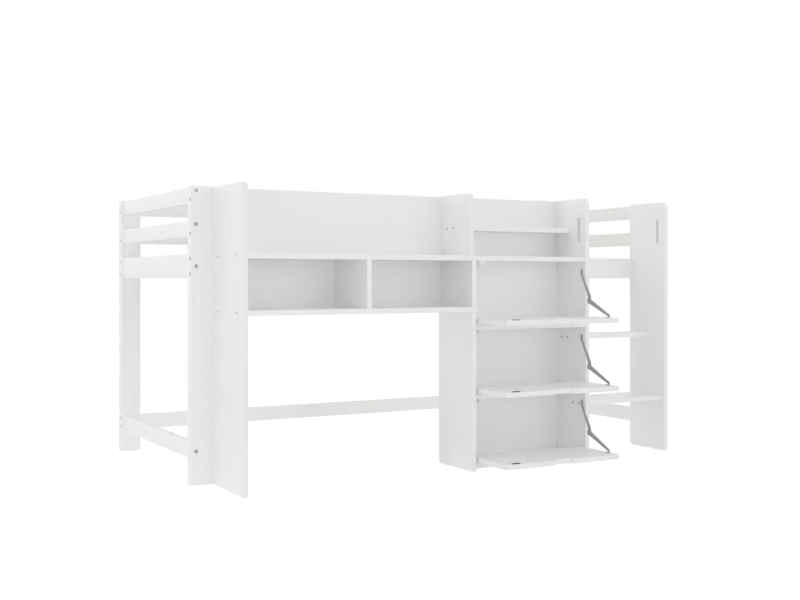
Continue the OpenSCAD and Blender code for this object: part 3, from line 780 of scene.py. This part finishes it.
class SlatTree(GeometryTree):
    """Slats in two runs: a rounded profile swept across the bed, on lines of points."""

    def __init__(self) -> None:
        """Build the tree."""
        super().__init__("slat_runs")
        sizes = ("Width", "Thickness", "Length", "Edge radius", "Middle Y", "Middle Z")
        self.takes("NodeSocketFloat", *sizes)
        self.takes("NodeSocketFloat", "First X", "First pitch", "Second X", "Second pitch")
        self.takes("NodeSocketInt", "First count", "Second count")
        self.takes("NodeSocketMaterial", "Material")
        profile = self.add(
            "GeometryNodeCurvePrimitiveQuadrilateral",
            {"Width": self.take("Width"), "Height": self.take("Thickness")},
            mode="RECTANGLE",
        )
        rounded = self.add(
            "GeometryNodeFilletCurve",
            {"Curve": profile.outputs[0], "Radius": self.take("Edge radius"), "Count": 4},
            mode="POLY",
        )
        half = self.math("MULTIPLY", self.take("Length"), 0.5)
        start = self.vector(0.0, self.math("MULTIPLY", half, -1.0), 0.0)
        line = self.add(
            "GeometryNodeCurvePrimitiveLine",
            {"Start": start, "End": self.vector(0.0, half, 0.0)},
            mode="POINTS",
        )
        slat = self.add(
            "GeometryNodeCurveToMesh",
            {"Curve": line.outputs[0], "Profile Curve": rounded.outputs[0], "Fill Caps": True},
        )
        runs = [self._run(order) for order in ("First", "Second")]
        points = self.add("GeometryNodeJoinGeometry")
        for run in reversed(runs):
            self.feed(points, {0: run})
        placed = self.add(
            "GeometryNodeInstanceOnPoints",
            {"Points": points.outputs[0], "Instance": slat.outputs[0]},
        )
        self.finish(placed.outputs[0])

    def _run(self, order: str) -> Socket:
        """Add one line of slat middles.

        Args:
            order: "First" or "Second", which names its inputs.

        Returns:
            The line's geometry.
        """
        middle = self.take("Middle Y"), self.take("Middle Z")
        return self.add(
            "GeometryNodeMeshLine",
            {
                "Count": self.take(order + " count"),
                "Start Location": self.vector(self.take(order + " X"), *middle),
                "Offset": self.vector(self.take(order + " pitch"), 0.0, 0.0),
            },
            mode="OFFSET",
            count_mode="TOTAL",
        ).outputs[0]


class HeadTree(GeometryTree):
    """Fastener heads on the base mesh's points: a chamfered disc with a driver recess."""

    def __init__(self, rim_sides: int = 32) -> None:
        """Build the tree.

        Args:
            rim_sides: how many sides a head's rim has.
        """
        super().__init__("fastener_heads")
        self.takes("NodeSocketFloat", "Head radius", "Head depth", "Chamfer")
        self.takes("NodeSocketFloat", "Recess radius", "Recess depth")
        self.takes("NodeSocketInt", "Recess sides")
        self.takes("NodeSocketVector", "Turn")
        self.takes("NodeSocketMaterial", "Material")
        radius, depth, chamfer = map(self.take, ("Head radius", "Head depth", "Chamfer"))
        hole, deep = self.take("Recess radius"), self.take("Recess depth")
        side = self.math("SUBTRACT", depth, chamfer)
        top = self.math("SUBTRACT", radius, chamfer)
        rim = self._raised(self._cone(rim_sides, radius, top, chamfer), side)
        barrel = self._cone(rim_sides, radius, radius, side)
        recess = self._cone(
            self.take("Recess sides"), hole, hole, self.math("MULTIPLY", deep, 2.0)
        )
        recess = self._raised(recess, self.math("SUBTRACT", depth, deep))
        solid = self.add("GeometryNodeMeshBoolean", operation="UNION", solver="EXACT")
        for part in (rim, barrel):
            self.feed(solid, {1: part})
        cut = self.add(
            "GeometryNodeMeshBoolean",
            {0: solid.outputs[0], 1: recess},
            operation="DIFFERENCE",
            solver="EXACT",
        )
        turned = self.add(
            "GeometryNodeInstanceOnPoints",
            {
                "Points": self.given.outputs[0],
                "Instance": self._raised(cut.outputs[0], self.math("MULTIPLY", depth, -1.0)),
                "Rotation": self.take("Turn"),
            },
        )
        self.finish(turned.outputs[0])

    def _cone(self, sides: object, bottom: Socket, top: Socket, depth: Socket) -> Socket:
        """Add a frustum that stands on the ground and return its mesh."""
        inputs = {"Vertices": sides, "Radius Top": top, "Radius Bottom": bottom, "Depth": depth}
        return self.add("GeometryNodeMeshCone", inputs).outputs["Mesh"]

    def _raised(self, mesh: Socket, level: Socket) -> Socket:
        """Move a mesh along Z."""
        inputs = {0: mesh, "Translation": self.vector(0.0, 0.0, level)}
        return self.add("GeometryNodeTransform", inputs).outputs[0]


@dataclass(frozen=True)
class HeadKind:
    """Sizes of one kind of fastener head, other than those read from the frame.

    The lift is how far a head stands proud of its seat, below 0 for sunk.
    """

    recess: float
    recess_depth: float
    sides: int
    depth: float
    lift: float
    chamfer: float


@dataclass
class Head:
    """One fastener head as the frame has it."""

    facing: Facing
    place: Vector
    radius: float


@dataclass
class HeadFinder:
    """Reads the heads of a node's fasteners, one for each of its solids."""

    node: str
    near: float = 0.05 * MM

    def find(self) -> list[Head]:
        """Return every head, with the middle of its outer face."""
        shape = merged(self.node)
        heads = [self._head([v.co.copy() for v in solid]) for solid in self._solids(shape)]
        shape.free()
        return heads

    @staticmethod
    def _solids(shape: bmesh.types.BMesh) -> Iterable[list[bmesh.types.BMVert]]:
        """Yield the vertices of each connected solid.

        Args:
            shape: the node's merged mesh.

        Yields:
            Lists of vertices.
        """
        # A dict keeps its order, a set doesn't.
        left = dict.fromkeys(shape.verts)
        while left:
            queue, solid = [left.popitem()[0]], []
            while queue:
                vert = queue.pop()
                solid.append(vert)
                for edge in vert.link_edges:
                    other = edge.other_vert(vert)
                    if other in left:
                        del left[other]
                        queue.append(other)
            yield solid

    def _head(self, points: list[Vector]) -> Head:
        """Read one fastener: its wide end is its head.

        Args:
            points: the solid's points.

        Returns:
            The head.
        """
        low = Vector([min(p[i] for p in points) for i in range(3)])
        high = Vector([max(p[i] for p in points) for i in range(3)])
        size = high - low
        along = max(range(3), key=lambda i: size[i])
        across = (along + 1) % 3
        middle = (low + high) * 0.5
        ends = {}
        for sign, level in ((-1, low[along]), (1, high[along])):
            ring = [p for p in points if abs(p[along] - level) < self.near]
            ends[sign] = max(abs(p[across] - middle[across]) for p in ring)
        sign = max(ends, key=ends.get)
        middle[along] = high[along] if sign > 0 else low[along]
        facing = {
            (0, -1): Facing.LEFT,
            (0, 1): Facing.RIGHT,
            (1, -1): Facing.FRONT,
            (1, 1): Facing.BACK,
            (2, 1): Facing.UP,
        }[(along, sign)]
        return Head(facing, middle, ends[sign])


@dataclass
class HeadMaker:
    """Makes a node's fastener heads, all in one piece that stands for the node."""

    tree: HeadTree
    finishes: Finishes
    slot: Slot = Slot.PLATED_STEEL

    def make(self, node: str, kind: HeadKind) -> None:
        """Make a node's heads where the frame has them.

        Args:
            node: the CAD node that the heads stand for.
            kind: the heads' details.
        """
        heads = HeadFinder(node).find()
        steel = self.finishes.get(self.slot)
        shape = bmesh.new()
        for facing in Facing:
            some = [h for h in heads if h.facing is facing]
            if not some:
                continue
            out = facing.outward()
            base = bpy.data.meshes.new(node + "_points")
            base.from_pydata([tuple(h.place + out * kind.lift) for h in some], [], [])
            part = self.tree.run(
                node + "_part",
                base,
                {
                    "Head radius": some[0].radius,
                    "Head depth": kind.depth,
                    "Chamfer": kind.chamfer,
                    "Recess radius": kind.recess,
                    "Recess depth": kind.recess_depth,
                    "Recess sides": kind.sides,
                    "Turn": facing.value,
                    "Material": steel,
                },
            )
            shape.from_mesh(part.data)
            bpy.data.objects.remove(part)
        mesh = bpy.data.meshes.new(node + "_heads")
        shape.to_mesh(mesh)
        shape.free()
        mesh.materials.append(steel)
        mesh.set_sharp_from_angle(angle=SHARP_HEAD)
        stand_for(link(bpy.data.objects.new(node + "_heads", mesh)), node, self.slot)
        LOG.info("%s: %d heads", node, len(heads))


# -------------------------------------------------------------------- sub-assemblies


@dataclass
class BedFrame:
    """Posts, rails and their bolt heads."""

    finishes: Finishes
    heads: HeadMaker
    ease: float = 2.2 * MM
    bolt: HeadKind = HeadKind(3.3 * MM, 2.2 * MM, 6, 3.0 * MM, -0.3 * MM, 0.5 * MM)

    def build(self) -> None:
        """Dress the timbers and set the bolt heads."""
        rails = ("top_guard", "mid_guard", "rail", "stretcher")
        ends = [side + "_" + rail for side in ("left", "right") for rail in rails]
        longs = ["back_" + rail for rail in rails] + ["front_" + rail for rail in rails[:-1]]
        posts = ["post_front_left", "post_front_right", "post_back_left", "post_back_right"]
        for names, grain in (
            (ends, Grain.ALONG_Y),
            (longs, Grain.ALONG_X),
            (posts + ["post_guard"], Grain.ALONG_Z),
        ):
            ease_many(names, Slot.PAINTED_PINE, self.finishes, grain=grain, ease=self.ease)
        self.heads.make("frame_bolts", self.bolt)


@dataclass
class MattressBase:
    """Ledgers, slats and their screws."""

    finishes: Finishes
    heads: HeadMaker
    slats: SlatTree
    edge_radius: float = 2.5 * MM
    first_count: int = 10
    second_count: int = 4
    screw: HeadKind = HeadKind(1.6 * MM, 1.2 * MM, 4, 2.0 * MM, 0.2 * MM, 0.3 * MM)

    def build(self) -> None:
        """Dress the ledgers and make the slats and screw heads."""
        slot = Slot.BARE_PINE
        ease_many(("ledger_front", "ledger_back"), slot, self.finishes, grain=Grain.ALONG_X)
        low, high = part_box("slats")
        middles = self._slat_middles()
        first, second = middles[: self.first_count], middles[self.first_count :]
        piece = self.slats.run(
            "slats_swept",
            bpy.data.meshes.new("slats_base"),
            {
                "Width": 2.0 * (middles[0] - low.x),
                "Thickness": high.z - low.z,
                "Length": high.y - low.y,
                "Edge radius": self.edge_radius,
                "Middle Y": (low.y + high.y) * 0.5,
                "Middle Z": (low.z + high.z) * 0.5,
                "First X": first[0],
                "First pitch": (first[-1] - first[0]) / (self.first_count - 1),
                "Second X": second[0],
                "Second pitch": (second[-1] - second[0]) / (self.second_count - 1),
                "First count": self.first_count,
                "Second count": self.second_count,
                "Material": self.finishes.get(slot, Grain.ALONG_Y),
            },
        )
        stand_for(piece, "slats", slot)
        LOG.info("swept %d slats", len(middles))
        self.heads.make("base_screws", self.screw)

    @staticmethod
    def _slat_middles(near: float = 0.01 * MM) -> list[float]:
        """Read the slats' middles along X from the CAD node's corners.

        Args:
            near: how close a point counts as on a corner.

        Returns:
            The middles, left to right.
        """
        data = bpy.data.objects[CAD_NODES["slats"]].data
        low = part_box("slats")[0]
        edges = sorted(
            {
                round(v.co.x, 5)
                for v in data.vertices
                if abs(v.co.z - low.z) < near and abs(v.co.y - low.y) < near
            }
        )
        return [(edges[i] + edges[i + 1]) * 0.5 for i in range(0, len(edges) - 1, 2)]


@dataclass(frozen=True)
class HandSlot:
    """A hand slot in an upright: its panel and its middle."""

    panel: str
    middle: Triple


@dataclass
class BoardWork:
    """The bay, the cabinet, the end panel and the steps, with their screw heads."""

    finishes: Finishes
    heads: HeadMaker
    ease: float = 1.0 * MM
    screw: HeadKind = HeadKind(2.0 * MM, 1.4 * MM, 6, 2.0 * MM, -0.3 * MM, 0.3 * MM)
    slots: tuple[HandSlot, ...] = (
        HandSlot("end_panel", (0.947, -0.427, 0.922)),
        HandSlot("cabinet_side_panel", (0.518, -0.447, 0.922)),
    )
    # How near a hand slot's middle its walls lie, and how little they face along X.
    slot_reach: tuple[float, float] = (10.0 * MM, 51.0 * MM)
    wall_turn: float = 0.5
    nodes: tuple[str, ...] = (
        "bay_side_panel",
        "end_panel",
        "cabinet_side_panel",
        "lower_divider",
        "upper_divider",
        "bay_top_shelf",
        "bay_bottom_shelf",
        "bay_partition",
        "cubby_back_panel",
        "upper_back_panel",
        "cabinet_top",
        "upper_shelf",
        "cabinet_shelf_high",
        "cabinet_shelf_low",
        "cabinet_bottom",
        "cabinet_back_panel",
        "step_upper",
        "step_lower",
    )

    def build(self) -> None:
        """Dress the boards, paint shade on the walls of the hand slots and set the screw heads.
        """
        ease_many(self.nodes, Slot.BOARD, self.finishes, ease=self.ease)
        for slot in self.slots:
            self._line_slot(bpy.data.objects[slot.panel + "_eased"].data, Vector(slot.middle))
        self.heads.make("panel_screws", self.screw)

    def _line_slot(self, mesh: Mesh, middle: Vector) -> None:
        """Paint shade on the walls of a hand slot, as a darker grey lacquer.

        Args:
            mesh: the panel's eased mesh.
            middle: the slot's middle.
        """
        mesh.materials.append(self.finishes.material(self.finishes.slot_shade))
        for face in mesh.polygons:
            away = face.center - middle
            if abs(away.y) < self.slot_reach[0] and abs(away.z) < self.slot_reach[1]:
                face.material_index = 1 if abs(face.normal.x) < self.wall_turn else 0


@dataclass
class FlapStay:
    """One flap with its stay's arms, its bracket and its strike plate."""

    number: int
    finishes: Finishes
    ease: float = 1.2 * MM
    steel_ease: float = 0.3 * MM
    strike_zone: float = 16.0 * MM

    def build(self) -> None:
        """Dress the flap, the two arms and the fittings on the flap."""
        EasedCopy("flap_%d" % self.number, Slot.BOARD, ease=self.ease).build(self.finishes)
        copies = [
            EasedCopy(node % self.number, Slot.DARK_STEEL, ease=self.steel_ease, segments=2)
            for node in ("stay_upper_%d", "stay_lower_%d", "flap_fittings_%d")
        ]
        pieces = [copy.build(self.finishes) for copy in copies]
        self._blacken_strike(pieces[-1])

    def _blacken_strike(self, piece: Thing) -> None:
        """Give the strike plate, at the flap's free edge, its black finish.

        Args:
            piece: the dressed fittings.
        """
        mesh = piece.data
        mesh.materials.append(self.finishes.material(self.finishes.blackened))
        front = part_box("flap_fittings_%d" % self.number)[0].y + self.strike_zone
        for face in mesh.polygons:
            if face.center.y < front:
                face.material_index = 1


@dataclass
class CabinetFittings:
    """Hinge pins, stay mounts, magnetic catches and the hidden barrel nuts."""

    finishes: Finishes
    steel_ease: float = 0.4 * MM

    def build(self) -> None:
        """Dress the fittings. The barrel nuts keep their own mesh."""
        metal = ("hinge_pins", "stay_mounts")
        ease_many(metal, Slot.DARK_STEEL, self.finishes, ease=self.steel_ease, segments=2)
        ease_many(("magnetic_catches",), Slot.WHITE_PLASTIC, self.finishes)
        nuts = bpy.data.objects[CAD_NODES["barrel_nuts"]].data
        nuts.materials.clear()
        nuts.materials.append(self.finishes.get(Slot.PLATED_STEEL))


# -------------------------------------------------------------------------- studio


@dataclass(frozen=True)
class SoftSun:
    """A wide, soft sun, or a fill light that casts no shadows."""

    name: str
    toward: Triple
    strength: float
    width: float
    shadows: bool = True

    def build(self) -> None:
        """Hang the lamp."""
        data = bpy.data.lights.new(self.name, "SUN")
        data.energy = self.strength
        data.angle = math.radians(self.width)
        data.use_shadow = self.shadows
        lamp = link(bpy.data.objects.new(self.name, data))
        lamp.rotation_euler = Vector(self.toward).to_track_quat("Z", "Y").to_euler()


@dataclass
class Studio:
    """The pale floor, the soft lights and the camera of the photograph."""

    camera_place: Triple = (-2.29056, -4.17686, 0.72682)
    camera_turn: float = math.radians(-30.59)
    lens: float = 51.637
    sensor: float = 36.0
    shift: tuple[float, float] = (-0.06509, -0.02751)
    far: float = 200.0
    floor_half: float = 40.0
    floor_drop: float = 0.5 * MM
    floor_bounce: float = 0.8
    floor_glow: float = 0.174
    floor_shade: float = 0.22
    floor_shown: float = 0.88
    world_strength: float = 0.434
    suns: tuple[SoftSun, ...] = (
        SoftSun("top_fill", (0.0, 0.0, 1.0), 0.364, 10.0, False),
        SoftSun("front_fill", (0.0, -1.0, 0.0), 0.326, 10.0, False),
        SoftSun("left_fill", (-1.0, 0.0, 0.0), 0.18, 10.0, False),
        SoftSun("low_left", (-0.9, -0.45, 0.1), 0.09, 30.0),
        SoftSun("low_front", (0.35, -0.93, 0.1), 0.206, 30.0),
        SoftSun("front_right_wash", (0.7, -0.8, 0.4), 0.396, 100.0),
        SoftSun("back_wash", (0.0, 1.0, 0.5), 0.11, 100.0),
        SoftSun("back_left_wash", (-0.9, 0.5, 0.4), 0.852, 100.0),
    )

    def build(self) -> None:
        """Build the camera, the lights, the world and the floor."""
        scene = bpy.context.scene
        scene.view_settings.view_transform = "Standard"
        self._camera(scene)
        self._world(scene)
        self._floor()
        for sun in self.suns:
            sun.build()

    def _camera(self, scene: bpy.types.Scene) -> None:
        """Set up the scene's camera, which is level."""
        data = bpy.data.cameras.new("camera")
        data.lens = self.lens
        data.sensor_width = self.sensor
        data.sensor_fit = "HORIZONTAL"
        data.shift_x, data.shift_y = self.shift
        data.clip_end = self.far
        camera = link(bpy.data.objects.new("camera", data))
        camera.location = self.camera_place
        camera.rotation_euler = (math.radians(90.0), 0.0, self.camera_turn)
        scene.camera = camera

    @staticmethod
    def _show(make: ShaderTree, kind: str, lit: Socket, shown: Socket) -> None:
        """End a tree in one shader for light that bounces and one for what is seen.

        Args:
            make: the tree's helper.
            kind: the output node's type name.
            lit: the shader that other surfaces are lit by.
            shown: the shader that the camera, mirrors and glass see.
        """
        path = make.add("ShaderNodeLightPath").outputs
        seen = make.math("MAXIMUM", path["Is Camera Ray"], path["Is Glossy Ray"])
        seen = make.math("MAXIMUM", seen, path["Is Transmission Ray"])
        mix = make.add("ShaderNodeMixShader", {0: seen, 1: lit, 2: shown})
        make.add(kind, {"Surface": mix.outputs[0]})

    def _world(self, scene: bpy.types.Scene) -> None:
        """Light the scene's world evenly and show it white."""
        world = bpy.data.worlds.new("studio")
        world.use_nodes = True
        world.node_tree.nodes.clear()
        make = ShaderTree(world.node_tree)
        white = (1.0, 1.0, 1.0, 1.0)
        lit, shown = (
            make.add("ShaderNodeBackground", {"Color": white, "Strength": power}).outputs[0]
            for power in (self.world_strength, 1.0)
        )
        self._show(make, "ShaderNodeOutputWorld", lit, shown)
        scene.world = world

    @staticmethod
    def _lit_white(make: ShaderTree, albedo: float, glow: float) -> Socket:
        """Add a matt white that also glows.

        Args:
            make: the material's tree.
            albedo: how much light it returns.
            glow: how much it gives off.

        Returns:
            The shader's socket.
        """
        matt = make.add("ShaderNodeBsdfDiffuse", {"Color": (albedo, albedo, albedo, 1.0)})
        lamp = make.add("ShaderNodeEmission", {"Strength": glow})
        both = {0: matt.outputs[0], 1: lamp.outputs[0]}
        return make.add("ShaderNodeAddShader", both).outputs[0]

    def _floor(self) -> None:
        """Lay the pale floor, which shows white but keeps a soft shadow."""
        half = self.floor_half
        mesh = bpy.data.meshes.new("studio_floor")
        square = [(-half, -half, 0.0), (half, -half, 0.0), (half, half, 0.0), (-half, half, 0.0)]
        mesh.from_pydata(square, [], [(0, 1, 2, 3)])
        material = bpy.data.materials.new("studio_floor")
        material.use_nodes = True
        material.node_tree.nodes.clear()
        make = ShaderTree(material.node_tree)
        lit = self._lit_white(make, self.floor_bounce, self.floor_glow)
        shown = self._lit_white(make, self.floor_shade, self.floor_shown)
        self._show(make, "ShaderNodeOutputMaterial", lit, shown)
        mesh.materials.append(material)
        floor = link(bpy.data.objects.new("studio_floor", mesh))
        floor.location.z = -self.floor_drop


@dataclass
class CabinBed:
    """The whole bed, built in order."""

    finishes: Finishes
    flaps: int = 3

    def build(self) -> None:
        """Build every sub-assembly."""
        heads = HeadMaker(HeadTree(), self.finishes)
        BedFrame(self.finishes, heads).build()
        MattressBase(self.finishes, heads, SlatTree()).build()
        BoardWork(self.finishes, heads).build()
        for number in range(1, self.flaps + 1):
            FlapStay(number, self.finishes).build()
        CabinetFittings(self.finishes).build()


def main() -> None:
    """Load the frame, build the bed and the studio."""
    logging.basicConfig(level=logging.INFO, format="%(asctime)s %(name)s: %(message)s")
    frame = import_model()
    for name, node in frame["nodes"].items():
        CAD_NODES[name] = node.name
    for body, nodes in frame["record"]["behaviour"]["bodies"].items():
        for name in nodes:
            BODY_OF[name] = body
    Studio().build()
    CabinBed(Finishes()).build()


if __name__ == "__main__":
    main()
